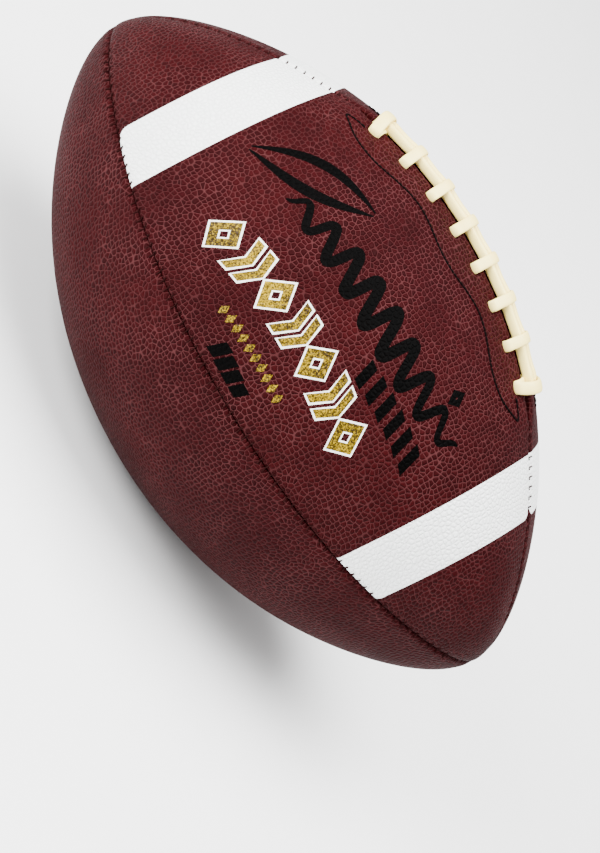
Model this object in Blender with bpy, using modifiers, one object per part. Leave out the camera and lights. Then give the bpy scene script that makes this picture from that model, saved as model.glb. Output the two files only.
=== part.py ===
"""An inflated four-panel gridiron football with laces, built as the real ball is sewn together.

Frame: metres, +Z up, origin at the ball's centre, long axis along X, laces along the top (+Z).
Angles round the long axis start at the top seam (+Z) and grow towards the front seam (-Y), so
that the four seams lie at 0, 90, 180 and 270 degrees.
"""

import math

import bmesh
import bpy
from mathutils import Matrix, Vector

MM = 0.001

# The ball's outer form
HALF_LENGTH = 146.25 * MM
GIRTH_RADIUS = 84.5 * MM
TAPER_2 = 0.10  # slims the ends against a plain ellipsoid, with the square of the distance
TAPER_4 = 0.17  # and with its fourth power
SEAM_SINK = 0.09  # how much the seams lie below the panels' middles at the ends, as a share
LACE_RIDGE = 2.2 * MM  # the facings lift the skin along the laces
LACE_RIDGE_HALF_WIDTH = 17 * MM
LACE_RIDGE_HALF_LENGTH = 74 * MM
LACE_RIDGE_FADE = 20 * MM

# Layers, as depths below the outer form
PANEL_THICKNESS = 2.0 * MM
LINING_DEPTH = 2.5 * MM
LINING_THICKNESS = 0.7 * MM
FACING_DEPTH = 2.8 * MM
FACING_THICKNESS = 0.7 * MM
TONGUE_DEPTH = 6.4 * MM
TONGUE_THICKNESS = 0.9 * MM
BLADDER_DEPTH = 4.2 * MM
BLADDER_THICKNESS = 1.1 * MM
BLADDER_DENT = 3.8 * MM  # the tongue and the lace press the bladder in under the opening

# Seams and the laced opening
SEAM_HALF_GAP = 0.2 * MM
SLIT_HALF_WIDTH = 2.5 * MM
SLIT_HALF_LENGTH = 65 * MM
SLIT_END_TAPER = 7 * MM
LINING_SETBACK = 1.2 * MM
LINING_CUT_ACROSS = 26 * MM
LINING_CUT_HALF_LENGTH = 74 * MM
FACING_INNER = 3.2 * MM
FACING_OUTER = 25 * MM
FACING_HALF_LENGTH = 72 * MM
TONGUE_HALF_WIDTH = 16 * MM
TONGUE_HALF_LENGTH = 84 * MM
THREAD_RADIUS = 0.45 * MM
THREAD_DEPTH = 2.85 * MM
THREAD_TIP_MARGIN = 7 * MM
TOP_THREAD_START = 77 * MM

# Stripes, laid into the two top panels near each end
STRIPE_INNER_X = 80.6 * MM
STRIPE_OUTER_X = 103.0 * MM
STRIPE_SLANT = 3.6 * MM  # how far the stripes lean along the ball from one seam to the next
STRIPE_THICKNESS = 0.4 * MM
STRIPE_DEPTH = 0.1 * MM
STRIPE_RECESS = 0.8 * MM
STRIPE_GAP = 0.3 * MM

# Laces
CROSS_COUNT = 8
CROSS_PITCH = 0.0162
HOLE_ACROSS = 9.2 * MM
HOLE_HALF_LENGTH = 2.9 * MM
HOLE_HALF_WIDTH = 1.35 * MM
BAND_HALF_WIDTH = 2.35 * MM
BAND_HALF_THICKNESS = 0.6 * MM
STRAND_HALF_WIDTH = 1.5 * MM
STRAND_HALF_HEIGHT = 2.0 * MM
STRAND_OFFSET = 1.7 * MM
STRAND_HEIGHT = 1.9 * MM
LACE_UNDER_HEIGHT = -5.2 * MM
LACE_SIDES = 6

# The stitch line that holds each facing
STITCH_RADIUS = 0.3 * MM
STITCH_HEIGHT = 0.65 * MM
STITCH_ACROSS = 20.6 * MM
STITCH_WAVE = 2.3 * MM
STITCH_WAVE_LENGTH = 49 * MM
STITCH_HALF_LENGTH = 58 * MM

# Valve, in the bottom back panel
VALVE_ANGLE = math.radians(205)
VALVE_PANEL_HOLE = 6.0 * MM
VALVE_LINING_HOLE = 6.4 * MM
VALVE_BLADDER_HOLE = 4.8 * MM
VALVE_HEAD_RADIUS = 5.4 * MM
VALVE_STEM_RADIUS = 4.2 * MM
VALVE_FLANGE_RADIUS = 9.0 * MM
VALVE_BORE_RADIUS = 2.9 * MM
VALVE_PORT_RADIUS = 1.2 * MM
VALVE_HEAD_DEPTH = 0.6 * MM
VALVE_NECK_DEPTH = 3.2 * MM
VALVE_FLANGE_TOP = 6.7 * MM
VALVE_FLANGE_BOTTOM = 8.2 * MM
VALVE_PORT_DEPTH = 7.3 * MM
PLUG_RADIUS = 2.6 * MM
PLUG_DEPTH = 1.0 * MM
PLUG_BOTTOM = 7.0 * MM
NEEDLE_DIMPLE_RADIUS = 0.9 * MM
NEEDLE_DIMPLE_DEPTH = 1.2 * MM
ROUND_STEPS = 24

# Ring positions along the ball and column angles across a quarter of it
HALF_RINGS = [x * MM for x in (20, 42, 65, 75, 90, 106, 121, 133, 141, 145, 146.22)]
RINGS = [*[-x for x in reversed(HALF_RINGS)], 0.0, *HALF_RINGS]
COLUMNS = [math.radians(a) for a in (0, 4, 12, 24, 39, 55, 71, 86, 90)]
QUARTER = math.radians(90)
NORMAL_STEP = 1e-4


def smooth(value):
    """0 below 0, 1 above 1, and a smooth step between."""
    t = min(max(value, 0.0), 1.0)
    return t * t * (3 - 2 * t)


def fold(angle):
    """The angle from the top seam, 0 to 180 degrees, on either side of the ball."""
    angle = angle % (2 * math.pi)
    return min(angle, 2 * math.pi - angle)


def form_radius(x, angle):
    """Distance of the outer form from the long axis."""
    t = min(abs(x) / HALF_LENGTH, 1.0)
    radius = GIRTH_RADIUS * math.sqrt(1 - t * t) * (1 - TAPER_2 * t**2 - TAPER_4 * t**4)
    radius *= 1 - SEAM_SINK * t**2 * math.cos(2 * angle) ** 2
    across = radius * fold(angle)
    along = smooth((LACE_RIDGE_HALF_LENGTH + LACE_RIDGE_FADE / 2 - abs(x)) / LACE_RIDGE_FADE)
    return radius + LACE_RIDGE * along * math.exp(-((across / LACE_RIDGE_HALF_WIDTH) ** 2))


def form_point(turn, angle):
    """A point of the outer form. turn runs from -90 to 90 degrees, tip to tip."""
    x = HALF_LENGTH * math.sin(turn)
    radius = form_radius(x, angle)
    return Vector((x, -radius * math.sin(angle), radius * math.cos(angle)))


def skin(x, angle, depth=0.0):
    """The point at that depth below the outer form, measured square to it."""
    turn = math.asin(x / HALF_LENGTH)
    along = form_point(turn + NORMAL_STEP, angle) - form_point(turn - NORMAL_STEP, angle)
    round_ = form_point(turn, angle + NORMAL_STEP) - form_point(turn, angle - NORMAL_STEP)
    normal = round_.cross(along).normalized()
    return form_point(turn, angle) - normal * depth


def skin_across(x, across, height):
    """The point that far across the ball from the top seam, and that high above the skin."""
    return skin(x, across / form_radius(x, 0.0), -height)


def slit_half_gap(x):
    """Half the distance between the two top panels at the top seam."""
    opening = smooth((SLIT_HALF_LENGTH + SLIT_END_TAPER - abs(x)) / SLIT_END_TAPER)
    return SEAM_HALF_GAP + (SLIT_HALF_WIDTH - SEAM_HALF_GAP) * opening


def material(name, colour, roughness, metallic=0.0):
    made = bpy.data.materials.new(name)
    made.use_nodes = True
    shader = made.node_tree.nodes["Principled BSDF"]
    shader.inputs["Base Color"].default_value = (*colour, 1)
    shader.inputs["Roughness"].default_value = roughness
    shader.inputs["Metallic"].default_value = metallic
    return made


def new_object(name, mesh, finish, collection):
    obj = bpy.data.objects.new(name, mesh)
    collection.objects.link(obj)
    if finish:
        mesh.materials.append(finish)
    else:
        obj.hide_render = True
        obj.display_type = "WIRE"
    return obj


def mesh_from(build, name):
    """A mesh made by a function that fills a bmesh, with its faces turned outward."""
    work = bmesh.new()
    build(work)
    bmesh.ops.recalc_face_normals(work, faces=work.faces)
    mesh = bpy.data.meshes.new(name)
    work.to_mesh(mesh)
    work.free()
    return mesh


def round_off(mesh, sharp_degrees=50):
    mesh.shade_smooth()
    mesh.set_sharp_from_angle(angle=math.radians(sharp_degrees))


def sheet(name, rows, finish, collection, thickness, closed=False):
    """An open sheet over rows of points, made solid inward by its thickness."""
    def build(work):
        grid = [[work.verts.new(point) for point in row] for row in rows]
        for row, after in zip(grid, grid[1:]):
            count = len(row)
            for i in range(count if closed else count - 1):
                j = (i + 1) % count
                work.faces.new((row[i], row[j], after[j], after[i]))
        if closed:
            work.faces.new(grid[0])
            work.faces.new(grid[-1])
    mesh = bpy.data.meshes.new(name)
    work = bmesh.new()
    build(work)
    if closed:
        bmesh.ops.recalc_face_normals(work, faces=work.faces)
    work.normal_update()
    first = next(iter(work.faces))
    outward = Vector((0, first.calc_center_median().y, first.calc_center_median().z))
    if first.normal.dot(outward) < 0:
        bmesh.ops.reverse_faces(work, faces=work.faces)
    work.to_mesh(mesh)
    work.free()
    round_off(mesh)
    obj = new_object(name, mesh, finish, collection)
    solidify = obj.modifiers.new("thickness", "SOLIDIFY")
    solidify.thickness = thickness
    solidify.offset = -1
    solidify.use_even_offset = True
    return obj


def cut(obj, cutter):
    boolean = obj.modifiers.new("cut_" + cutter.name, "BOOLEAN")
    boolean.operation = "DIFFERENCE"
    boolean.solver = "EXACT"
    boolean.object = cutter


def quarter_rows(start, setback_low, setback_high, depth, rings):
    """Rows of points over the quarter of the ball from the start angle to 90 degrees on.

    Each setback is a function of x: the distance from that seam's plane to the sheet's edge.
    """
    mirrored = start >= math.pi
    angles = [QUARTER - a for a in reversed(COLUMNS)] if mirrored else COLUMNS
    rows = []
    for x in rings:
        radius = form_radius(x, start + QUARTER / 2)
        low = math.asin(min(setback_low(x) / radius, 0.7))
        high = QUARTER - math.asin(min(setback_high(x) / radius, 0.7))
        # close to a tip the columns draw together, so that they stay between the edges
        squeeze = [low + (high - low) * a / QUARTER for a in angles[1:-1]]
        rows.append([skin(x, start + a, depth) for a in [low, *squeeze, high]])
    return rows


def seam_gap(_):
    return SEAM_HALF_GAP


def lining_gap(_):
    return LINING_SETBACK


def leather_panels(finish, collection):
    """Four panels of covered leather, whose edges meet at the seams."""
    quarters = (
        ("top_front_panel", 0, slit_half_gap, seam_gap),
        ("bottom_front_panel", 1, seam_gap, seam_gap),
        ("bottom_back_panel", 2, seam_gap, seam_gap),
        ("top_back_panel", 3, seam_gap, slit_half_gap),
    )
    panels = {}
    for name, index, low, high in quarters:
        rows = quarter_rows(index * QUARTER, low, high, 0.0, RINGS)
        panels[name] = sheet(name, rows, finish, collection, PANEL_THICKNESS)
    return panels


def linings(finish, collection, cutters):
    """Four cloth linings behind the panels. The top two are cut back where the facings lie."""
    made = {}
    for index, name in enumerate(("top_front", "bottom_front", "bottom_back", "top_back")):
        rows = quarter_rows(index * QUARTER, lining_gap, lining_gap, LINING_DEPTH, RINGS[1:-1])
        made[name] = sheet(f"{name}_lining", rows, finish, collection, LINING_THICKNESS)
    rings = [x for x in RINGS if abs(x) < LINING_CUT_HALF_LENGTH]
    rings = [-LINING_CUT_HALF_LENGTH, *rings, LINING_CUT_HALF_LENGTH]
    offsets = [LINING_CUT_ACROSS * share for share in (-1, -0.5, 0, 0.5, 1)]
    rows = [[skin_across(x, a, 0.0) for a in offsets] for x in rings]
    window = sheet("lining_window", rows, None, cutters, LINING_DEPTH * 2)
    cut(made["top_front"], window)
    cut(made["top_back"], window)
    return made


def stripe_x(x, angle):
    """The place along the ball of a stripe's edge at that angle."""
    return x + STRIPE_SLANT * (0.5 - fold(angle) / QUARTER)


def stripe_rows(start, inner_x, outer_x, depth, low, high):
    """Rows of points over a stripe. low and high are the edges' angles past the start."""
    mirrored = start >= math.pi
    angles = [QUARTER - a for a in reversed(COLUMNS)] if mirrored else COLUMNS
    inside = [a for a in angles[1:-1]]
    rows = []
    for share in (0.0, 0.5, 1.0):
        x = inner_x + (outer_x - inner_x) * share
        rows.append([skin(stripe_x(x, start + a), start + a, depth) for a in [low, *inside, high]])
    return rows


def stripes(finish, panels, collection, cutters):
    """A white band near each end of both top panels, let into a shallow recess."""
    places = (("front", 0, "top_front_panel"), ("back", 3, "top_back_panel"))
    for side, index, panel in places:
        for end, sign in (("left", -1), ("right", 1)):
            start = index * QUARTER
            edge = math.asin(SEAM_HALF_GAP / form_radius(STRIPE_OUTER_X, start))
            inner = sign * STRIPE_INNER_X
            outer = sign * STRIPE_OUTER_X
            rows = stripe_rows(start, inner, outer, STRIPE_DEPTH, edge, QUARTER - edge)
            sheet(f"{end}_{side}_stripe", rows, finish, collection, STRIPE_THICKNESS)
            gap = sign * STRIPE_GAP
            past = math.radians(2)
            rows = stripe_rows(start, inner - gap, outer + gap, -1 * MM, -past, QUARTER + past)
            recess = sheet(
                f"{end}_{side}_recess", rows, None, cutters, STRIPE_RECESS + 1 * MM
            )
            cut(panels[panel], recess)


def cross_positions():
    return [(i - (CROSS_COUNT - 1) / 2) * CROSS_PITCH for i in range(CROSS_COUNT)]


def lace_hole_cutter(side, sign, cutters):
    """Oval punches through a top panel and its facing, one for each end of a cross."""
    def build(work):
        for x in cross_positions():
            top = skin_across(x, sign * HOLE_ACROSS, 3 * MM)
            bottom = skin_across(x, sign * HOLE_ACROSS, -6 * MM)
            up = (top - bottom).normalized()
            along = (Vector((1, 0, 0)) - up * up.x).normalized()
            turn = Matrix((along, up.cross(along), up)).transposed().to_4x4()
            oval = Matrix.Diagonal((HOLE_HALF_LENGTH, HOLE_HALF_WIDTH, 1, 1))
            bmesh.ops.create_cone(
                work, cap_ends=True, segments=12, radius1=1, radius2=1,
                depth=(top - bottom).length,
                matrix=Matrix.Translation((top + bottom) / 2) @ turn @ oval,
            )
    return new_object(f"{side}_lace_holes", mesh_from(build, f"{side}_holes"), None, cutters)


def facings(finish, collection):
    """A strip of vinyl behind each side of the opening, which the holes go through."""
    made = {}
    rings = [x for x in RINGS if abs(x) < FACING_HALF_LENGTH]
    rings = [-FACING_HALF_LENGTH, *rings, FACING_HALF_LENGTH]
    for side, sign in (("front", 1), ("back", -1)):
        rows = []
        for x in rings:
            offsets = [FACING_INNER + (FACING_OUTER - FACING_INNER) * i / 3 for i in range(4)]
            rows.append([skin_across(x, sign * a, -FACING_DEPTH) for a in offsets])
        made[side] = sheet(f"{side}_lace_facing", rows, finish, collection, FACING_THICKNESS)
    return made


def tongue(finish, collection):
    """The guard strip between the laces and the bladder."""
    rings = [x for x in RINGS if abs(x) < TONGUE_HALF_LENGTH]
    rings = [-TONGUE_HALF_LENGTH, *rings, TONGUE_HALF_LENGTH]
    offsets = [TONGUE_HALF_WIDTH * s for s in (-1, -0.5, 0, 0.5, 1)]
    rows = [[skin_across(x, a, -TONGUE_DEPTH) for a in offsets] for x in rings]
    sheet("bladder_guard", rows, finish, collection, TONGUE_THICKNESS)


def bladder_depth(x, angle):
    across = form_radius(x, 0.0) * fold(angle)
    dent = smooth((38 * MM - across) / (16 * MM)) * smooth((104 * MM - abs(x)) / (14 * MM))
    return BLADDER_DEPTH + BLADDER_DENT * dent


def bladder(finish, collection, cutters):
    """The rubber air bladder, open only where the valve goes through it."""
    quarter = [COLUMNS[0], *COLUMNS[2:-2]]
    front = [index * QUARTER + angle for index in (0, 1) for angle in quarter]
    back = [2 * math.pi - angle for angle in reversed(front[1:])]
    angles = [*front, math.pi, *back]
    rows = []
    for x in RINGS[1:-1]:
        rows.append([skin(x, a, bladder_depth(x, a)) for a in angles])
    obj = sheet("bladder", rows, finish, collection, BLADDER_THICKNESS, closed=True)
    hole = valve_cylinder("bladder_valve_hole", VALVE_BLADDER_HOLE, cutters)
    cut(obj, hole)


def valve_matrix():
    """Places a shape turned about Z so that its Z axis leaves the ball at the valve."""
    centre = skin(0.0, VALVE_ANGLE)
    out = centre.normalized()
    along = Vector((1, 0, 0))
    turn = Matrix((along, out.cross(along), out)).transposed().to_4x4()
    return Matrix.Translation(centre) @ turn


def valve_cylinder(name, radius, cutters):
    def build(work):
        bmesh.ops.create_cone(
            work, cap_ends=True, segments=ROUND_STEPS, radius1=radius, radius2=radius,
            depth=40 * MM, matrix=valve_matrix(),
        )
    return new_object(name, mesh_from(build, name), None, cutters)


def turned(name, profile, finish, collection, closed):
    """A turned solid at the valve. The profile is (radius, height) pairs, top to bottom outside."""
    mesh = bpy.data.meshes.new(name)
    count = len(profile)
    edges = [(i, i + 1) for i in range(count - 1)]
    if closed:
        edges.append((count - 1, 0))
    mesh.from_pydata([(r, 0, z) for r, z in profile], edges, [])
    obj = new_object(name, mesh, finish, collection)
    obj.matrix_world = valve_matrix()
    screw = obj.modifiers.new("turn", "SCREW")
    screw.steps = ROUND_STEPS
    screw.render_steps = ROUND_STEPS
    screw.use_merge_vertices = True
    screw.merge_threshold = 1e-5
    screw.use_smooth_shade = False
    return obj


def valve(finish, plug_finish, collection):
    """A rubber valve: a head in the panel's hole, a stem and a flange inside the bladder."""
    turned("valve_body", [
        (VALVE_BORE_RADIUS, -VALVE_HEAD_DEPTH),
        (VALVE_HEAD_RADIUS, -VALVE_HEAD_DEPTH),
        (VALVE_HEAD_RADIUS, -VALVE_NECK_DEPTH),
        (VALVE_STEM_RADIUS, -VALVE_NECK_DEPTH - 0.6 * MM),
        (VALVE_STEM_RADIUS, -VALVE_FLANGE_TOP),
        (VALVE_FLANGE_RADIUS, -VALVE_FLANGE_TOP),
        (VALVE_FLANGE_RADIUS, -VALVE_FLANGE_BOTTOM),
        (VALVE_PORT_RADIUS, -VALVE_FLANGE_BOTTOM),
        (VALVE_PORT_RADIUS, -VALVE_PORT_DEPTH),
        (VALVE_BORE_RADIUS, -VALVE_PORT_DEPTH),
    ], finish, collection, closed=True)
    turned("valve_plug", [
        (0, -PLUG_DEPTH - NEEDLE_DIMPLE_DEPTH),
        (NEEDLE_DIMPLE_RADIUS, -PLUG_DEPTH),
        (PLUG_RADIUS - 0.3 * MM, -PLUG_DEPTH),
        (PLUG_RADIUS, -PLUG_DEPTH - 0.3 * MM),
        (PLUG_RADIUS, -PLUG_BOTTOM),
        (0, -PLUG_BOTTOM),
    ], plug_finish, collection, closed=False)


def thread(name, points, radius, finish, collection):
    """A round thread along the points, with closed ends."""
    curve = bpy.data.curves.new(name, "CURVE")
    curve.dimensions = "3D"
    curve.bevel_depth = radius
    curve.bevel_resolution = 1
    curve.use_fill_caps = True
    spline = curve.splines.new("POLY")
    spline.points.add(len(points) - 1)
    for target, point in zip(spline.points, points):
        target.co = (*point, 1)
    curve.materials.append(finish)
    obj = bpy.data.objects.new(name, curve)
    collection.objects.link(obj)
    return obj


def seam_threads(finish, collection):
    """The thread of each seam, which lies behind the joint. The top seam is open at the laces."""
    reach = HALF_LENGTH - THREAD_TIP_MARGIN
    whole = [-reach, *[x for x in RINGS if abs(x) < reach - 2 * MM], reach]
    for name, index in (("front", 1), ("bottom", 2), ("back", 3)):
        points = [skin(x, index * QUARTER, THREAD_DEPTH) for x in whole]
        thread(f"{name}_seam_thread", points, THREAD_RADIUS, finish, collection)
    for name, sign in (("left", -1), ("right", 1)):
        xs = [TOP_THREAD_START, *[x for x in whole if x > TOP_THREAD_START + 2 * MM]]
        points = [skin(sign * x, 0.0, THREAD_DEPTH) for x in xs]
        thread(f"{name}_top_seam_thread", points, THREAD_RADIUS, finish, collection)


def stitch_route():
    """(x, across) places of a facing's stitch line, from its left end to its right end."""
    ends = ((-60, 11.4), (-64, 11.6), (-68, 12.6), (-64.5, 16.2))
    left = [(x * MM, a * MM) for x, a in ends]
    steps = 20
    middle = []
    for i in range(steps + 1):
        x = STITCH_HALF_LENGTH * (2 * i / steps - 1)
        wave = math.cos(2 * math.pi * x / STITCH_WAVE_LENGTH)
        middle.append((x, STITCH_ACROSS + STITCH_WAVE * wave - 1.5 * MM * (x / STITCH_HALF_LENGTH) ** 6))
    right = [(-x, a) for x, a in reversed(left)]
    return left + middle + right


def facing_stitches(finish, collection):
    for side, sign in (("front", 1), ("back", -1)):
        points = [skin_across(x, sign * a, STITCH_HEIGHT) for x, a in stitch_route()]
        thread(f"{side}_facing_stitch", points, STITCH_RADIUS, finish, collection)


def strand_route(end):
    """The front strand over the slit, from inside its left end to inside its right end.

    Each step is (x, across, height, half width, half thickness, flat way). The flat way says
    where the wide side of the section points: 0 along the ball, 1 across it.
    """
    rise = (
        (4.0, 1.25, -2.9, 0.95, 0.9),
        (3.6, 1.25, -0.9, 0.95, 0.95),
        (2.6, 1.35, 0.9, 1.1, 1.3),
        (0.6, 1.6, 1.8, 1.4, 1.7),
    )
    rise = [[value * MM for value in step] for step in rise]
    left = [(-end - x, *rest, 1) for x, *rest in rise]
    right = [(end + x, *rest, 1) for x, *rest in reversed(rise)]
    steps = 12
    span = end - 2 * MM
    section = (STRAND_OFFSET, STRAND_HEIGHT, STRAND_HALF_WIDTH, STRAND_HALF_HEIGHT, 1)
    middle = [(span * (2 * i / steps - 1), *section) for i in range(steps + 1)]
    return [*left, *middle, *right]


def cross_route(x):
    """One cross, from the back hole over the strands and into the front hole."""
    climb = ((8.6, -5.0), (9.2, -2.7), (9.2, 0.4), (8.5, 1.7), (5.2, 3.5), (2.7, 4.6), (0.0, 5.0))
    climb = [(across * MM, height * MM) for across, height in climb]
    section = (BAND_HALF_WIDTH, BAND_HALF_THICKNESS, 0)
    up = [(x, -across, height, *section) for across, height in climb]
    down = [(x, across, height, *section) for across, height in reversed(climb[:-1])]
    return [*up, *down]


def lace_route():
    """The one lace from tail to tail, in the steps that strand_route describes.

    The lace comes up through the slit, runs out and back over it as two strands, then crosses
    from side to side through the holes, and slants to the next hole on the inside.
    """
    crosses = cross_positions()
    end = -crosses[0]
    slim = 0.95 * MM
    thin = BAND_HALF_THICKNESS
    under = LACE_UNDER_HEIGHT
    run = [
        (-end - 19 * MM, 1.3 * MM, under, slim, thin, 1),
        (-end - 13 * MM, 1.3 * MM, under, slim, thin, 1),
        (-end - 8 * MM, 1.3 * MM, under + 0.6 * MM, slim, 0.8 * MM, 1),
    ]
    front = strand_route(end)
    run += front
    for across, half_thickness in ((0.75, 0.6), (0.0, 0.55), (-0.75, 0.6)):
        dip = -4.1 * MM if across else -4.5 * MM
        run.append((end + 4 * MM, across * MM, dip, 0.9 * MM, half_thickness * MM, 0.5))
    run += [(x, -across, *rest) for x, across, *rest in reversed(front)]
    run += [
        (-end - 4.6 * MM, -1.6 * MM, -4.1 * MM, slim, 0.7 * MM, 0.7),
        (-end - 4.4 * MM, -3.0 * MM, -4.8 * MM, 1.3 * MM, thin, 0.4),
        (-end - 2.8 * MM, -6.2 * MM, under, 1.9 * MM, thin, 0),
    ]
    for index, x in enumerate(crosses):
        run += cross_route(x)
        if index < CROSS_COUNT - 1:
            for share in (0.14, 0.5, 0.86):
                across = (8.2 - 16.4 * share) * MM
                run.append((x + CROSS_PITCH * share, across, under, BAND_HALF_WIDTH, thin, 0))
    for step, across, way in ((3, 7.2, 0.3), (6, 6.0, 0.8), (11, 5.4, 1), (16, 5.4, 1)):
        run.append((crosses[-1] + step * MM, across * MM, under, 1.9 * MM, thin, way))
    return run


def lace(finish, collection):
    """Sweeps the lace's oval section along its route."""
    route = lace_route()
    centres = [skin_across(x, across, height) for x, across, height, *_ in route]

    def build(work):
        loops = []
        for i, (x, across, height, half_width, half_thickness, way) in enumerate(route):
            before = centres[max(i - 1, 0)]
            after = centres[min(i + 1, len(centres) - 1)]
            tangent = (after - before).normalized()
            ahead = skin_across(x + MM, across, height) - skin_across(x - MM, across, height)
            beside = skin_across(x, across + MM, height) - skin_across(x, across - MM, height)
            along = ahead.normalized()
            sideways = beside.normalized()
            flat = along * (1 - way) + sideways * way
            flat = (flat - tangent * flat.dot(tangent)).normalized()
            thick = tangent.cross(flat)
            loop = []
            for k in range(LACE_SIDES):
                turn = 2 * math.pi * (k + 0.5) / LACE_SIDES
                offset = flat * half_width * math.cos(turn) + thick * half_thickness * math.sin(turn)
                loop.append(work.verts.new(centres[i] + offset))
            loops.append(loop)
        for loop, after in zip(loops, loops[1:]):
            for k in range(LACE_SIDES):
                j = (k + 1) % LACE_SIDES
                work.faces.new((loop[k], loop[j], after[j], after[k]))
        work.faces.new(loops[0])
        work.faces.new(loops[-1])
    mesh = mesh_from(build, "lace")
    round_off(mesh, 70)
    new_object("lace", mesh, finish, collection)


def build_ball():
    for obj in list(bpy.data.objects):
        bpy.data.objects.remove(obj, do_unlink=True)
    ball = bpy.data.collections.new("gridiron_football")
    cutters = bpy.data.collections.new("cutters")
    bpy.context.scene.collection.children.link(ball)
    bpy.context.scene.collection.children.link(cutters)

    leather = material("leather", (0.115, 0.025, 0.025), 0.5)
    white = material("stripe_white", (0.82, 0.83, 0.82), 0.45)
    cloth = material("lining_cloth", (0.55, 0.50, 0.40), 0.9)
    vinyl = material("facing_vinyl", (0.05, 0.045, 0.045), 0.6)
    cord = material("lace_vinyl", (0.86, 0.82, 0.68), 0.45)
    rubber = material("bladder_rubber", (0.03, 0.03, 0.03), 0.55)
    valve_rubber = material("valve_rubber", (0.02, 0.02, 0.02), 0.5)
    plug_rubber = material("plug_rubber", (0.25, 0.02, 0.02), 0.5)
    seam_cord = material("seam_thread", (0.06, 0.02, 0.02), 0.8)
    stitch = material("stitch_thread", (0.012, 0.01, 0.01), 0.7)

    panels = leather_panels(leather, ball)
    stripes(white, panels, ball, cutters)
    cloths = linings(cloth, ball, cutters)
    strips = facings(vinyl, ball)
    for side, sign in (("front", 1), ("back", -1)):
        holes = lace_hole_cutter(side, sign, cutters)
        cut(panels[f"top_{side}_panel"], holes)
        cut(strips[side], holes)
    tongue(vinyl, ball)
    bladder(rubber, ball, cutters)
    valve(valve_rubber, plug_rubber, ball)
    cut(panels["bottom_back_panel"], valve_cylinder("panel_valve_hole", VALVE_PANEL_HOLE, cutters))
    cut(cloths["bottom_back"], valve_cylinder("lining_valve_hole", VALVE_LINING_HOLE, cutters))
    lace(cord, ball)
    seam_threads(seam_cord, ball)
    facing_stitches(stitch, ball)


build_ball()
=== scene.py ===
"""The looks of an inflated gridiron football: pebbled leather panels, bands, laces and stitching.

Frame: metres, +Z up, origin at the ball's centre, long axis along X, laces at the top (+Z).
Angles round the long axis start at the top seam and grow towards the front seam (-Y).
"""

import math

import bmesh
import bpy
import numpy as np
from mathutils import Matrix, Vector


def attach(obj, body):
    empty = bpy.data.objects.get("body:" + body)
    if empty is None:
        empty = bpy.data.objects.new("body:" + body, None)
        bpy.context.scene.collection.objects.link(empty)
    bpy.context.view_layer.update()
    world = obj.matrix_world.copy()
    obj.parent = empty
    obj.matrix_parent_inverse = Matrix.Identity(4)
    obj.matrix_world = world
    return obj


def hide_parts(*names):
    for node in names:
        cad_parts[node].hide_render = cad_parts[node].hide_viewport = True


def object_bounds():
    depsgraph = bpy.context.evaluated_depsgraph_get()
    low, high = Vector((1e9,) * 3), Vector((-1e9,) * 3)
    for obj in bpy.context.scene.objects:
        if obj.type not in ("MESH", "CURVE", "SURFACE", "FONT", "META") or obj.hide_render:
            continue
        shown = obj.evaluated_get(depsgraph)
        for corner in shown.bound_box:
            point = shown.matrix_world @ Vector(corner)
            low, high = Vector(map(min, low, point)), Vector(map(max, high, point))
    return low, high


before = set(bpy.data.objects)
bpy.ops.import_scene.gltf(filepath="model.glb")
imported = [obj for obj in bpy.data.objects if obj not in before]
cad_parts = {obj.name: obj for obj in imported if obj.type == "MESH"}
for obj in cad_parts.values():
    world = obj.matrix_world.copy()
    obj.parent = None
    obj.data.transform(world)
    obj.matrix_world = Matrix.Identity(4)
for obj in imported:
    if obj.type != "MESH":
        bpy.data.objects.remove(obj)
CAD_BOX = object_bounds()
QUARTER = math.pi / 2
GRAIN_LAYER = "skin_layout"
MM = 0.001

# Outer form, as the CAD builds it
HALF_LENGTH = 0.14625
GIRTH_RADIUS = 0.0845
TAPER_2 = 0.10
TAPER_4 = 0.17
SEAM_SINK = 0.09
LACE_RIDGE = 0.0022
LACE_RIDGE_HALF_WIDTH = 0.017
LACE_RIDGE_HALF_LENGTH = 0.074
LACE_RIDGE_FADE = 0.020

# Panels and the slit
PANEL_THICKNESS = 0.0020
SUNK_PANEL_THICKNESS = 0.0022  # where the skin dips more than SUNK_DEPTH
SUNK_DEPTH = 0.0005
SEAM_HALF_GAP = 0.00022
SLIT_HALF_WIDTH = 0.0025
SLIT_HALF_LENGTH = 0.065
SLIT_END_TAPER = 0.007
TIP_TURN = math.radians(89.4)  # the panels stop this far round towards the tips
TIP_FADE_RADIUS = 0.006  # the seams' relief fades out where the ball is slimmer than this

# The skin's relief, in mm: a roll into each seam, a swelling beside it, a pucker at each stitch
ROLL_DEPTH, ROLL_WIDTH, ROLL_POWER = 0.95, 0.62, 1.5
SWELL_HEIGHT, SWELL_PLACE, SWELL_WIDTH = 0.1, 3.2, 2.0
PUCKER_DEPTH, PUCKER_PLACE, PUCKER_WIDTH = 0.3, 1.1, 0.9
DIMPLE_DEPTH, DIMPLE_LENGTH, DIMPLE_WIDTH = 0.8, 3.6, 2.6

# Bands
STRIPE_INNER_X = 0.0806
STRIPE_OUTER_X = 0.1030
STRIPE_SLANT = 0.0036  # how far the bands lean along the ball from one seam to the next
STRIPE_THICKNESS = 0.0005
STRIPE_PROUD = 0.00006
STRIPE_EDGE_DROP = 0.0001
STRIPE_EDGE_WIDTH = 0.0005
STRIPE_SINK = 0.00055  # the panel's recess below a band
CORNER_RADIUS = 0.0062  # rounds one outer corner of each band

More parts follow.
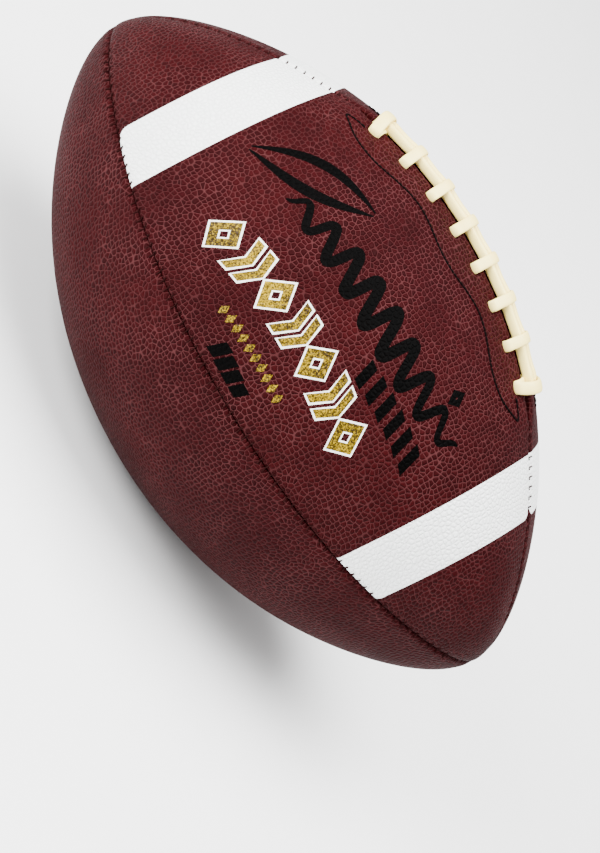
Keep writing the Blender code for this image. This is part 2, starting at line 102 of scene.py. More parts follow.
# Stitching
STITCH_PITCH = 0.0035
SEAM_STITCH_REACH = 0.0017
SEAM_STITCH_RADIUS = 0.0003
SEAM_CORD_DEPTH = 0.00195
SEAM_CORD_RADIUS = 0.0005
THREAD_TIP_MARGIN = 0.007
TOP_THREAD_START = 0.0735
FACING_STITCH_PITCH = 0.0026
FACING_STITCH_RADIUS = 0.00042
FACING_STITCH_LIFT = 0.00005

# Laces
CROSS_COUNT = 8
CROSS_PITCH = 0.0162
HOLE_ACROSS = 0.0092
HOLE_HALF_LENGTH = 0.0029
HOLE_HALF_WIDTH = 0.00135
LACE_SIDES = 20
LACE_STEP = 0.0008
LACE_SQUARENESS = 2.5  # 2 is an oval section, more is squarer
LACE_UNDER = -0.0052  # height of the strap where it runs on the inside
CROSS_REACH = 9.35  # mm from the seam to where a cross goes down into its hole

# Valve
VALVE_ANGLE = math.radians(205)
VALVE_HOLE_RADIUS = 0.0060


def clamp01(value):
    return np.clip(value, 0.0, 1.0)


def smooth(value):
    t = clamp01(value)
    return t * t * (3 - 2 * t)


def fold(angle):
    """The angle from the top seam, from 0 to pi, on either side of the ball."""
    angle = np.mod(angle, 2 * math.pi)
    return np.minimum(angle, 2 * math.pi - angle)


def form_radius(x, angle):
    """The outer form's distance from the long axis."""
    t = np.minimum(np.abs(x) / HALF_LENGTH, 1.0)
    radius = GIRTH_RADIUS * np.sqrt(1 - t * t) * (1 - TAPER_2 * t**2 - TAPER_4 * t**4)
    radius = radius * (1 - SEAM_SINK * t**2 * np.cos(2 * angle) ** 2)
    across = radius * fold(angle)
    along = smooth((LACE_RIDGE_HALF_LENGTH + LACE_RIDGE_FADE / 2 - np.abs(x)) / LACE_RIDGE_FADE)
    return radius + LACE_RIDGE * along * np.exp(-((across / LACE_RIDGE_HALF_WIDTH) ** 2))


def form_point(turn, angle):
    """A point of the outer form, turn radians round from the ball's middle towards a tip."""
    x = HALF_LENGTH * np.sin(turn)
    radius = form_radius(x, angle)
    return np.stack(np.broadcast_arrays(x, -radius * np.sin(angle), radius * np.cos(angle)), -1)


def skin(x, angle, lift):
    """Points that far above the outer form, measured square to it."""
    step = 1e-4
    x, angle, lift = np.broadcast_arrays(
        np.asarray(x, float), np.asarray(angle, float), np.asarray(lift, float)
    )
    turn = np.arcsin(np.clip(x / HALF_LENGTH, -0.99999, 0.99999))
    along = form_point(turn + step, angle) - form_point(turn - step, angle)
    around = form_point(turn, angle + step) - form_point(turn, angle - step)
    normal = np.cross(around, along)
    normal /= np.linalg.norm(normal, axis=-1, keepdims=True)
    return form_point(turn, angle) + normal * lift[..., None]


def skin_across(x, across, lift):
    """Points that far across from the top seam, measured round the skin."""
    x = np.asarray(x, float)
    return skin(x, np.asarray(across, float) / form_radius(x, 0.0), lift)


def meridian_table():
    """Distance along the skin from the middle of the ball, for positions along its axis."""
    turn = np.linspace(0, math.radians(89.9), 2000)
    points = form_point(turn, QUARTER / 2)
    steps = np.linalg.norm(np.diff(points, axis=0), axis=1)
    return HALF_LENGTH * np.sin(turn), np.concatenate([[0], np.cumsum(steps)])


MERIDIAN_X, MERIDIAN_LENGTH = meridian_table()


def layout(x, angle, index):
    """Where points of a panel lie when it is laid flat, in metres."""
    along = np.sign(x) * np.interp(np.abs(x), MERIDIAN_X, MERIDIAN_LENGTH)
    across = form_radius(x, QUARTER / 2) * (angle - (index + 0.5) * QUARTER)
    return np.stack(np.broadcast_arrays(along + index * 0.7 + 1, across + 1), -1)


def slit_half_gap(x):
    """Half the gap between the top panels, wide at the slit and narrow at the seam beyond it."""
    opening = smooth((SLIT_HALF_LENGTH + SLIT_END_TAPER - np.abs(x)) / SLIT_END_TAPER)
    return SEAM_HALF_GAP + (SLIT_HALF_WIDTH - SEAM_HALF_GAP) * opening


def cross_positions():
    return [(i - (CROSS_COUNT - 1) / 2) * CROSS_PITCH for i in range(CROSS_COUNT)]


# ---------------------------------------------------------------- materials


class Nodes:
    """A short way to write a material's node tree."""

    def __init__(self, name):
        self.material = bpy.data.materials.new(name)
        self.material.use_nodes = True
        self.tree = self.material.node_tree
        self.shader = self.tree.nodes["Principled BSDF"]

    def add(self, kind, settings=None, **inputs):
        node = self.tree.nodes.new(kind)
        for key, value in (settings or {}).items():
            setattr(node, key, value)
        for key, value in inputs.items():
            self.put(node.inputs[key.replace("_", " ")], value)
        return node

    def put(self, socket, value):
        if isinstance(value, bpy.types.NodeSocket):
            self.tree.links.new(value, socket)
        else:
            socket.default_value = value

    def math(self, operation, a, b):
        node = self.tree.nodes.new("ShaderNodeMath")
        node.operation = operation
        for socket, value in zip(node.inputs, (a, b)):
            self.put(socket, value)
        return node.outputs[0]

    def ramp(self, value, low, high, to_low=0.0, to_high=1.0, kind="SMOOTHSTEP"):
        node = self.tree.nodes.new("ShaderNodeMapRange")
        node.interpolation_type = kind
        for socket, number in zip(node.inputs, (value, low, high, to_low, to_high)):
            self.put(socket, number)
        return node.outputs[0]

    def mix(self, share, a, b):
        node = self.tree.nodes.new("ShaderNodeMix")
        node.data_type = "RGBA"
        self.put(node.inputs[0], share)
        self.put(node.inputs[6], a)
        self.put(node.inputs[7], b)
        return node.outputs[2]

    def vector(self, operation, a, b, socket=1):
        node = self.add("ShaderNodeVectorMath", {"operation": operation})
        self.put(node.inputs[0], a)
        self.put(node.inputs[socket], b)
        return node.outputs[0]

    def place(self):
        return self.add("ShaderNodeTexCoord").outputs["Object"]

    def noise(self, scale, detail=2.0):
        node = self.add("ShaderNodeTexNoise", Vector=self.place(), Scale=scale, Detail=detail)
        return node.outputs["Fac"]

    def bump(self, height, strength, distance):
        node = self.add("ShaderNodeBump", Strength=strength, Distance=distance, Height=height)
        return node.outputs["Normal"]

    def finish(self, **inputs):
        for key, value in inputs.items():
            self.put(self.shader.inputs[key.replace("_", " ")], value)
        return self.material


def rgb(red, green, blue):
    """A colour from 0 to 255 values as seen, turned into the linear values a shader takes."""
    linear = []
    for value in (red, green, blue):
        v = value / 255
        linear.append(v / 12.92 if v <= 0.04045 else ((v + 0.055) / 1.055) ** 2.4)
    return (*linear, 1.0)


PEBBLE_SIZE = 0.0021
PEBBLE_RANDOMNESS = 0.76
PEBBLE_WARP = 0.4  # how far noise moves the pebbles' edges, as a share of their size
CREASE_WIDTH = 0.12  # as shares of a pebble
DOME_WIDTH = 0.34
CORNER_START, CORNER_END = 0.5, 0.82  # distances from a pebble's middle where its corners sink


def pebble(nodes):
    """Pebble relief in the skin's flat layout: (dome, crease, tone of each pebble), all 0 to 1."""
    place = nodes.add("ShaderNodeUVMap", {"uv_map": GRAIN_LAYER}).outputs["UV"]
    warp = nodes.add("ShaderNodeTexNoise", Vector=place, Scale=170.0, Detail=1.0).outputs["Color"]
    centred = nodes.vector("SUBTRACT", warp, (0.5, 0.5, 0.5))
    shift = nodes.vector("SCALE", centred, PEBBLE_SIZE * PEBBLE_WARP, "Scale")
    moved = nodes.vector("ADD", place, shift)
    edges, middles = [
        nodes.add(
            "ShaderNodeTexVoronoi", {"voronoi_dimensions": "2D", "feature": feature},
            Vector=moved, Scale=1 / PEBBLE_SIZE, Randomness=PEBBLE_RANDOMNESS,
        ) for feature in ("DISTANCE_TO_EDGE", "F1")
    ]
    distance = edges.outputs["Distance"]
    corner = nodes.ramp(middles.outputs["Distance"], CORNER_START, CORNER_END)
    edge = nodes.ramp(distance, 0.0, CREASE_WIDTH, 1.0, 0.0)
    crease = nodes.math("MAXIMUM", edge, nodes.math("MULTIPLY", corner, 0.75))
    rise = nodes.ramp(distance, 0.0, DOME_WIDTH)
    dome = nodes.math("MULTIPLY", rise, nodes.math("SUBTRACT", 1.0, corner))
    tone = nodes.add("ShaderNodeSeparateColor", Color=middles.outputs["Color"]).outputs[0]
    return dome, crease, tone


def leather_material():
    """Dark red pebbled leather, paler in its creases, with a tone of its own for each pebble."""
    nodes = Nodes("leather")
    dome, crease, tone = pebble(nodes)
    broad = nodes.ramp(nodes.noise(16.0, 3.0), 0.3, 0.7)
    body = nodes.mix(broad, rgb(34, 3, 5), rgb(42, 5, 7))
    body = nodes.mix(nodes.math("MULTIPLY", tone, 0.55), body, rgb(20, 1, 2))
    strong = nodes.ramp(nodes.noise(45.0, 2.0), 0.3, 0.7, 0.4, 0.95)
    colour = nodes.mix(nodes.math("MULTIPLY", crease, strong), body, rgb(67, 34, 35))
    fine = nodes.noise(2600.0, 2.0)
    height = nodes.math("ADD", dome, nodes.math("MULTIPLY", fine, 0.14))
    uneven = nodes.math("ADD", crease, nodes.noise(300.0, 2.0))
    rough = nodes.ramp(uneven, 0.3, 1.5, 0.56, 0.76, "LINEAR")
    return nodes.finish(
        Base_Color=colour, Roughness=rough, Normal=nodes.bump(height, 1.0, 0.0004),
        Specular_IOR_Level=0.026,
    )


def stripe_material():
    nodes = Nodes("stripe_white")
    dome, crease, _ = pebble(nodes)
    dirt = nodes.ramp(nodes.noise(60.0, 4.0), 0.52, 0.8)
    colour = nodes.mix(nodes.math("MULTIPLY", crease, 0.5), rgb(240, 242, 241), rgb(208, 209, 206))
    colour = nodes.mix(nodes.math("MULTIPLY", dirt, 0.25), colour, rgb(214, 208, 202))
    return nodes.finish(
        Base_Color=colour, Roughness=nodes.ramp(crease, 0.0, 1.0, 0.42, 0.6),
        Normal=nodes.bump(dome, 0.9, 0.00035), Specular_IOR_Level=0.3,
    )


def lace_material():
    nodes = Nodes("lace_vinyl")
    grain = nodes.noise(900.0, 3.0)
    soil = nodes.ramp(nodes.noise(90.0, 3.0), 0.45, 0.8)
    colour = nodes.mix(nodes.math("MULTIPLY", soil, 0.35), rgb(252, 230, 138), rgb(238, 206, 98))
    return nodes.finish(
        Base_Color=colour, Roughness=nodes.ramp(grain, 0.3, 0.7, 0.34, 0.48),
        Normal=nodes.bump(grain, 0.25, 0.00012), Specular_IOR_Level=0.5,
        Subsurface_Weight=0.08, Subsurface_Radius=(0.004, 0.003, 0.002), Subsurface_Scale=0.3,
    )


def thread_material(name, dark, light):
    nodes = Nodes(name)
    strands = nodes.noise(2600.0, 2.0)
    colour = nodes.mix(strands, dark, light)
    return nodes.finish(
        Base_Color=colour, Roughness=nodes.ramp(strands, 0.3, 0.7, 0.65, 0.85),
        Normal=nodes.bump(strands, 0.5, 0.0001), Specular_IOR_Level=0.03,
    )


def cloth_material():
    """A plain weave of two crossed waves."""
    nodes = Nodes("lining_cloth")
    place = nodes.place()
    waves = []
    for direction in ("X", "Y"):
        waves.append(nodes.add(
            "ShaderNodeTexWave", {"bands_direction": direction}, Vector=place, Scale=260.0,
            Distortion=0.6,
        ).outputs["Fac"])
    weave = nodes.math("MULTIPLY", waves[0], waves[1])
    colour = nodes.mix(weave, rgb(150, 140, 118), rgb(205, 196, 172))
    return nodes.finish(Base_Color=colour, Roughness=0.9, Normal=nodes.bump(weave, 0.6, 0.0002))


def rubber_material(name, dark, light, roughness):
    nodes = Nodes(name)
    dust = nodes.noise(120.0, 4.0)
    colour = nodes.mix(dust, dark, light)
    return nodes.finish(
        Base_Color=colour, Roughness=nodes.ramp(dust, 0.3, 0.7, roughness - 0.08, roughness + 0.08),
        Normal=nodes.bump(nodes.noise(1500.0, 2.0), 0.2, 0.0001),
    )


def foil_material(name, dark, light, metallic, roughness, specular):
    """Ink or foil printed on the pebbled skin, with glints of the light colour in the dark one."""
    nodes = Nodes(name)
    dome, _, tone = pebble(nodes)
    streaks = nodes.noise(1500.0, 3.0)
    glints = nodes.math("ADD", streaks, nodes.math("MULTIPLY", nodes.noise(60.0, 2.0), 0.4))
    colour = nodes.mix(nodes.ramp(glints, 0.58, 0.92), dark, light)
    colour = nodes.mix(nodes.math("MULTIPLY", tone, 0.25), colour, dark)
    rough = nodes.ramp(streaks, 0.3, 0.7, roughness - 0.06, roughness + 0.08)
    return nodes.finish(
        Base_Color=colour, Roughness=rough, Metallic=metallic,
        Normal=nodes.bump(dome, 0.6, 0.0003), Specular_IOR_Level=specular,
    )


def floor_material():
    nodes = Nodes("studio_floor")
    speckle = nodes.noise(40.0, 3.0)
    colour = nodes.mix(speckle, rgb(246, 246, 246), rgb(250, 250, 250))
    return nodes.finish(Base_Color=colour, Roughness=0.85, Specular_IOR_Level=0.2)


# ---------------------------------------------------------------- mesh helpers


def mesh_object(name, vertices, faces, finish, sharp, flat=None):
    """A smooth piece, with sharp edges above so many degrees. flat is the vertices' flat layout."""
    mesh = bpy.data.meshes.new(name)
    mesh.from_pydata([tuple(v) for v in vertices], [], faces)
    mesh.update()
    work = bmesh.new()
    work.from_mesh(mesh)
    bmesh.ops.recalc_face_normals(work, faces=work.faces)
    if work.calc_volume(signed=True) < 0:
        bmesh.ops.reverse_faces(work, faces=work.faces)
    work.to_mesh(mesh)
    work.free()
    mesh.shade_smooth()
    mesh.set_sharp_from_angle(angle=math.radians(sharp))
    mesh.materials.append(finish)
    if flat is not None:
        corners = np.zeros(len(mesh.loops), dtype=np.int32)
        mesh.loops.foreach_get("vertex_index", corners)
        coordinates = np.asarray(flat, np.float32)[corners]
        mesh.uv_layers.new(name=GRAIN_LAYER).data.foreach_set("uv", coordinates.ravel())
    obj = bpy.data.objects.new(name, mesh)
    bpy.context.scene.collection.objects.link(obj)
    return obj


def slab_parts(outer, inner, around=False):
    """Vertices and faces of a closed body between two grids. around joins last column to first."""
    rows, columns = outer.shape[:2]
    vertices = np.concatenate([outer.reshape(-1, 3), inner.reshape(-1, 3)])
    base = rows * columns
    index = np.arange(base).reshape(rows, columns)
    after = np.roll(index, -1, axis=1)
    last = columns if around else columns - 1
    quads = np.stack(
        [index[:-1, :last], after[:-1, :last], after[1:, :last], index[1:, :last]], -1
    ).reshape(-1, 4)
    faces = quads.tolist() + (quads[:, ::-1] + base).tolist()
    rims = [np.append(row, row[0]) if around else row for row in (index[0], index[-1])]
    if not around:
        rims += [index[:, 0], index[:, -1]]
    for rim in rims:
        faces += [(int(a), int(b), int(b) + base, int(a) + base) for a, b in zip(rim, rim[1:])]
    return vertices, faces


def slab(name, outer, inner, finish, flat):
    """A piece of skin between two grids of points."""
    vertices, faces = slab_parts(outer, inner)
    flat = np.concatenate([flat.reshape(-1, 2)] * 2)
    return mesh_object(name, vertices, faces, finish, 40, flat)


def tube_rings(centres, flats, widths, heights, sides, power=2.0):
    """Rings of an oval section round a path; flats are the wide side's directions.

    A power above 2 makes the oval squarer.
    """
    tangents = np.gradient(centres, axis=0)
    tangents /= np.linalg.norm(tangents, axis=1, keepdims=True)
    flats = flats - tangents * (flats * tangents).sum(1, keepdims=True)
    flats /= np.linalg.norm(flats, axis=1, keepdims=True)
    thick = np.cross(tangents, flats)
    turns = 2 * math.pi * (np.arange(sides) + 0.5) / sides
    cosine, sine = np.cos(turns), np.sin(turns)
    across = np.sign(cosine) * np.abs(cosine) ** (2 / power)
    up = np.sign(sine) * np.abs(sine) ** (2 / power)
    rings = centres[:, None] + flats[:, None] * (widths[:, None] * across)[..., None]
    return rings + thick[:, None] * (heights[:, None] * up)[..., None]


def ring_faces(rows, sides, start):
    """Faces of a closed tube of rings, whose vertices are numbered from start."""
    index = start + np.arange(rows * sides).reshape(rows, sides)
    after = np.roll(index, -1, axis=1)
    quads = np.stack([index[:-1], after[:-1], after[1:], index[1:]], -1).reshape(-1, 4).tolist()
    return quads + [index[0].tolist(), index[-1].tolist()]


def spline_through(points, step):
    """Points every step or so along a centripetal Catmull-Rom curve, with all columns carried."""
    points = np.asarray(points, float)
    padded = np.vstack([2 * points[0] - points[1], points, 2 * points[-1] - points[-2]])
    found = []
    for i in range(1, len(padded) - 2):
        p0, p1, p2, p3 = padded[i - 1:i + 3]
        t = [0.0]
        for a, b in ((p0, p1), (p1, p2), (p2, p3)):
            t.append(t[-1] + max(np.linalg.norm(b[:3] - a[:3]), 1e-6) ** 0.5)
        count = max(2, int(math.ceil(np.linalg.norm(p2[:3] - p1[:3]) / step)))
        for u in np.linspace(t[1], t[2], count, endpoint=False):
            a1 = (t[1] - u) / (t[1] - t[0]) * p0 + (u - t[0]) / (t[1] - t[0]) * p1
            a2 = (t[2] - u) / (t[2] - t[1]) * p1 + (u - t[1]) / (t[2] - t[1]) * p2
            a3 = (t[3] - u) / (t[3] - t[2]) * p2 + (u - t[2]) / (t[3] - t[2]) * p3
            b1 = (t[2] - u) / (t[2] - t[0]) * a1 + (u - t[0]) / (t[2] - t[0]) * a2
            b2 = (t[3] - u) / (t[3] - t[1]) * a2 + (u - t[1]) / (t[3] - t[1]) * a3
            found.append((t[2] - u) / (t[2] - t[1]) * b1 + (u - t[1]) / (t[2] - t[1]) * b2)
    found.append(points[-1])
    return np.array(found)


# ---------------------------------------------------------------- panels and bands


def stripe_shift(x, angle):
    """How far the bands' lean and round corners move a ring of the top panels along the ball."""
    near = smooth((np.abs(x) - 0.050) / 0.020) * smooth((0.138 - np.abs(x)) / 0.025)
    lean = STRIPE_SLANT * (0.5 - fold(angle) / QUARTER) * near
    radius = form_radius(x, QUARTER / 2)
    to_seam = np.where(x < 0, QUARTER - fold(angle), fold(angle)) * radius
    miss = clamp01(1 - to_seam / CORNER_RADIUS)
    cut = CORNER_RADIUS * (1 - np.sqrt(1 - miss**2 * 0.96))
    fade = smooth((np.abs(x) - STRIPE_INNER_X - 0.002) / (STRIPE_OUTER_X - STRIPE_INNER_X - 0.002))
    fade = fade * smooth((STRIPE_OUTER_X + 0.014 - np.abs(x)) / 0.013)
    return lean - np.sign(x) * cut * fade


def seam_relief(distance, x):
    """The skin rolls down into a seam, with a swelling beside it and a pucker at each stitch."""
    d = np.maximum(distance, 0) / MM
    roll = -ROLL_DEPTH * np.exp(-((d / ROLL_WIDTH) ** ROLL_POWER))
    swell = SWELL_HEIGHT * np.exp(-(((d - SWELL_PLACE) / SWELL_WIDTH) ** 2))
    pucker = np.cos(2 * math.pi * x / STITCH_PITCH) * 0.5 + 0.5
    tuck = -PUCKER_DEPTH * pucker * np.exp(-(((d - PUCKER_PLACE) / PUCKER_WIDTH) ** 2))
    return (roll + swell + tuck) * MM


def hole_relief(x, across):
    """A dimple round each lace hole."""
    relief = np.zeros(np.broadcast(x, across).shape)
    for centre in cross_positions():
        along = (x - centre) / (DIMPLE_LENGTH * MM)
        beside = (across - HOLE_ACROSS) / (DIMPLE_WIDTH * MM)
        relief -= DIMPLE_DEPTH * MM * np.exp(-(along**2 + beside**2))
    return relief


def spaced(knots, steps):
    """Values along the knots, each stretch cut into steps of about its own size."""
    values = []
    for (a, b), step in zip(zip(knots, knots[1:]), steps):
        count = max(1, int(round((b - a) / step)))
        values += list(np.linspace(a, b, count, endpoint=False))
    return np.array(values + [knots[-1]])


def ring_places(top):
    """Positions of the rings along the ball, close together at the bands' edges and the tips."""
    tip = HALF_LENGTH * math.sin(TIP_TURN)
    wall = 0.05 * MM  # a recess's wall takes up to this much of the panel beside the band
    if top:
        marks = [0, 0.070, STRIPE_INNER_X - wall, STRIPE_INNER_X - wall / 5,
                 STRIPE_OUTER_X + wall / 5, STRIPE_OUTER_X + wall, 0.120, 0.134, 0.142, 0.1452, tip]
        steps = [0.0009, 0.0015, 1, 0.0015, 1, 0.0014, 0.0011, 0.0008, 0.0004, 0.00015]
    else:
        marks = [0, 0.120, 0.134, 0.142, 0.1452, tip]
        steps = [0.0016, 0.0013, 0.0009, 0.0004, 0.00015]
    half = spaced(marks, steps)
    return np.concatenate([-half[:0:-1], half])


def column_shares(laced_low=False, laced_high=False):
    """Shares across a panel, close together beside its seams and closer still beside the laces."""
    plain = [0, 0.006, 0.012, 0.018, 0.025, 0.033, 0.043, 0.056, 0.072, 0.09]
    laced = list(np.linspace(0, 0.13, 29))
    low = laced if laced_low else plain
    high = [1 - share for share in (laced if laced_high else plain)][::-1]
    middle = list(np.linspace(low[-1], high[0], 66))[1:-1]
    return np.array(low + middle + high)


def panel(name, index, finish):
    """One leather panel. The top two part along the slit and carry the bands' recesses."""
    top = index in (0, 3)
    x = ring_places(top)[:, None]
    shares = column_shares(index == 0, index == 3)[None, :]
    start = index * QUARTER
    radius = form_radius(x, start + QUARTER / 2)
    low_gap = slit_half_gap(x) if index == 0 else np.full_like(x, SEAM_HALF_GAP)
    high_gap = slit_half_gap(x) if index == 3 else np.full_like(x, SEAM_HALF_GAP)
    low = np.arcsin(np.minimum(low_gap / radius, 0.7))
    high = QUARTER - np.arcsin(np.minimum(high_gap / radius, 0.7))
    angle = start + low + (high - low) * shares
    place = x + (stripe_shift(x, angle) if top else 0.0)
    local = form_radius(place, angle)
    to_low = local * (angle - start - low)
    to_high = local * (start + high - angle)
    near = np.minimum(to_low, to_high)
    lift = seam_relief(near, place) * smooth(local / TIP_FADE_RADIUS)
    if top:
        lift = lift + hole_relief(place, local * fold(angle))
        edge = 0.03 * MM
        banded = (np.abs(x) > STRIPE_INNER_X - edge) & (np.abs(x) < STRIPE_OUTER_X + edge)
        lift = np.where(banded, lift - STRIPE_SINK, lift)
    outer = skin(place, angle, lift)
    thickness = np.where(lift < -SUNK_DEPTH, SUNK_PANEL_THICKNESS, PANEL_THICKNESS)
    inner = skin(place, angle, np.minimum(lift * 0.2, 0) - thickness)
    return slab(name, outer, inner, finish, layout(place, angle, index))


def band(name, index, sign, finish):
    """A white band let into a top panel. It follows the seams' roll at both of its ends."""
    start = index * QUARTER
    x = np.linspace(STRIPE_INNER_X, STRIPE_OUTER_X, 22)[:, None] * sign
    shares = column_shares()[None, :]
    radius = form_radius(x, start + QUARTER / 2)
    low = np.arcsin(SEAM_HALF_GAP / radius)
    angle = start + low + (QUARTER - 2 * low) * shares
    place = x + stripe_shift(x, angle)
    local = form_radius(place, angle)
    near = np.minimum(local * (angle - start - low), local * (start + QUARTER - low - angle))
    edge = np.minimum(np.abs(x) - STRIPE_INNER_X, STRIPE_OUTER_X - np.abs(x)) / STRIPE_EDGE_WIDTH
    lift = seam_relief(near, place) + STRIPE_PROUD - STRIPE_EDGE_DROP * (1 - smooth(edge))
    outer = skin(place, angle, lift)
    inner = skin(place, angle, lift - STRIPE_THICKNESS)
    return slab(name, outer, inner, finish, layout(place, angle, index))


def punch_holes(obj, places, half_length, half_width):
    """Oval holes square through a panel at each (x, angle)."""
    work = bmesh.new()
    for x, angle in places:
        top = Vector(skin(x, angle, 4 * MM))
        bottom = Vector(skin(x, angle, -6 * MM))
        up = (top - bottom).normalized()
        along = (Vector((1, 0, 0)) - up * up.x).normalized()
        turn = Matrix((along, up.cross(along), up)).transposed().to_4x4()
        oval = Matrix.Diagonal((half_length, half_width, 1, 1))
        bmesh.ops.create_cone(
            work, cap_ends=True, segments=32, radius1=1, radius2=1, depth=(top - bottom).length,
            matrix=Matrix.Translation((top + bottom) / 2) @ turn @ oval,
        )
    mesh = bpy.data.meshes.new("punch")
    work.to_mesh(mesh)
    work.free()
    punch = bpy.data.objects.new("punch", mesh)
    bpy.context.scene.collection.objects.link(punch)
    boolean = obj.modifiers.new("holes", "BOOLEAN")
    boolean.operation = "DIFFERENCE"
    boolean.solver = "EXACT"
    boolean.object = punch
    graph = bpy.context.evaluated_depsgraph_get()
    cut = bpy.data.meshes.new_from_object(obj.evaluated_get(graph), depsgraph=graph)
    obj.modifiers.clear()
    obj.data = cut
    bpy.data.objects.remove(punch, do_unlink=True)


# ---------------------------------------------------------------- laces


def strand_route(end):
    """One strand along the slit, in lace_route's steps: up at one end, down at the other."""
    rise = (
        (4.0, 1.25, -2.9, 0.95, 0.9),
        (3.6, 1.25, -0.9, 0.95, 0.95),
        (2.6, 1.35, 0.9, 1.1, 1.3),
        (0.6, 1.6, 1.8, 1.45, 1.75),
    )
    rise = [[value * MM for value in step] for step in rise]
    left = [(-end - x, *rest, 1) for x, *rest in rise]
    right = [(end + x, *rest, 1) for x, *rest in reversed(rise)]
    steps = 28
    span = end - 2 * MM
    middle = []
    for i in range(steps + 1):
        x = span * (2 * i / steps - 1)
        # the strand swells between the crosses, which press it down
        free = 0.5 - 0.5 * math.cos(2 * math.pi * (x - CROSS_PITCH / 2) / CROSS_PITCH + math.pi)
        across, height, half_width = 1.65 + 0.3 * free, 1.8 + 0.35 * free, 1.6 + 0.1 * free
        middle.append((x, across * MM, height * MM, half_width * MM, 2.1 * MM, 1))
    return [*left, *middle, *right]


def cross_route(x, bow):
    """One cross from the back hole over the strands to the front one; bow bends it endwise."""
    climb = ((8.6, -5.0), (9.2, -2.7), (CROSS_REACH, 0.1), (8.9, 1.15), (7.4, 1.9), (5.5, 3.1),
             (3.4, 4.4), (1.5, 5.0), (0.0, 5.1))
    half_width = (2.6 if bow else 2.3) * MM
    half_thickness = (0.82 if bow else 0.62) * MM

    def step(side, across, height):
        bent = bow * (1 - (across / CROSS_REACH) ** 2) if height > 0 else 0
        return (x + bent, side * across * MM, height * MM, half_width, half_thickness, 0)

    up = [step(-1, across, height) for across, height in climb]
    down = [step(1, across, height) for across, height in reversed(climb[:-1])]
    return [*up, *down]


def lace_route():
    """The one lace from tail to tail: (x, across, height, half width, half thickness, flat way)."""
    crosses = cross_positions()
    end = -crosses[0]
    slim, thin, wide = 0.95 * MM, 0.6 * MM, 1.9 * MM
    run = [
        (-end - 19 * MM, 1.3 * MM, LACE_UNDER, slim, thin, 1),
        (-end - 13 * MM, 1.3 * MM, LACE_UNDER, slim, thin, 1),
        (-end - 8 * MM, 1.3 * MM, LACE_UNDER + 0.6 * MM, slim, 0.8 * MM, 1),
    ]
    front = strand_route(end)
    run += front
    for across, half_thickness in ((0.75, 0.6), (0.0, 0.55), (-0.75, 0.6)):
        dip = -4.1 * MM if across else -4.5 * MM
        run.append((end + 4 * MM, across * MM, dip, 0.9 * MM, half_thickness * MM, 0.5))
    run += [(x, -across, *rest) for x, across, *rest in reversed(front)]
    run += [
        (-end - 4.6 * MM, -1.6 * MM, -4.1 * MM, slim, 0.7 * MM, 0.7),
        (-end - 4.4 * MM, -3.0 * MM, -4.8 * MM, 1.3 * MM, thin, 0.4),
        (-end - 2.8 * MM, -6.2 * MM, LACE_UNDER, wide, thin, 0),
    ]
    for index, x in enumerate(crosses):
        bow = {0: -1.2 * MM, CROSS_COUNT - 1: 2.2 * MM}.get(index, 0.0)
        run += cross_route(x, bow)
        if index < CROSS_COUNT - 1:
            for share in (0.14, 0.5, 0.86):
                across = (8.2 - 16.4 * share) * MM
                run.append((x + CROSS_PITCH * share, across, LACE_UNDER, 2.35 * MM, thin, 0))
    for step, across, way in ((3, 7.2, 0.3), (6, 6.0, 0.8), (11, 5.4, 1), (16, 5.4, 1)):
        run.append((crosses[-1] + step * MM, across * MM, LACE_UNDER, wide, thin, way))
    return run


def tuck_route(side, sign):
    """The short turn under each end cross, from its hole to the slit."""
    end = sign * (cross_positions()[-1] - 1.1 * MM)
    turn = ((9.2, -3.0), (9.0, -0.4), (7.8, 0.75), (5.8, 0.95), (4.2, 0.8), (3.0, -0.6),
            (2.7, -3.0))
    return [(end, side * a * MM, h * MM, 1.7 * MM, 0.5 * MM, 0) for a, h in turn]


def lace_rings(route):
    """Rings of the strap along a route. Flat way 0 lays its wide side along the ball, 1 across."""
    route = spline_through(route, LACE_STEP)
    x, across, height, widths, heights, way = route.T
    centres = skin_across(x, across, height)
    along = skin_across(x + MM, across, height) - skin_across(x - MM, across, height)
    sideways = skin_across(x, across + MM, height) - skin_across(x, across - MM, height)
    along /= np.linalg.norm(along, axis=1, keepdims=True)
    sideways /= np.linalg.norm(sideways, axis=1, keepdims=True)
    flats = along * (1 - way[:, None]) + sideways * way[:, None]
    return tube_rings(centres, flats, widths, heights, LACE_SIDES, LACE_SQUARENESS)


def lace(finish):
    vertices, faces = [], []
    routes = [lace_route()] + [tuck_route(side, sign) for side in (1, -1) for sign in (1, -1)]
    for route in routes:
        rings = lace_rings(route)
        faces += ring_faces(len(rings), LACE_SIDES, len(vertices))
        vertices += rings.reshape(-1, 3).tolist()
    return mesh_object("lace_strap", vertices, faces, finish, 80)


# ---------------------------------------------------------------- stitching


def stitch_row(name, centres, ups, radius, finish):
    """Short threads, each from one point of the list to the next, with ends that dip in."""
    vertices, faces = [], []
    sides, rings = 8, 7
    for start, end, up in zip(centres[:-1], centres[1:], ups[:-1]):
        s = np.linspace(0, 1, rings)[:, None]
        arc = np.sin(s * math.pi) ** 0.6
        path = start + (end - start) * (0.02 + 0.96 * s) + up * radius * (1.1 * arc - 0.9)
        widths = np.full(rings, radius)
        widths[[0, -1]] *= 0.75
        flats = np.tile(np.cross(end - start, up), (rings, 1))
        ring = tube_rings(path, flats, widths, widths, sides)
        faces += ring_faces(rings, sides, len(vertices))
        vertices += ring.reshape(-1, 3).tolist()
    return mesh_object(name, vertices, faces, finish, 60)


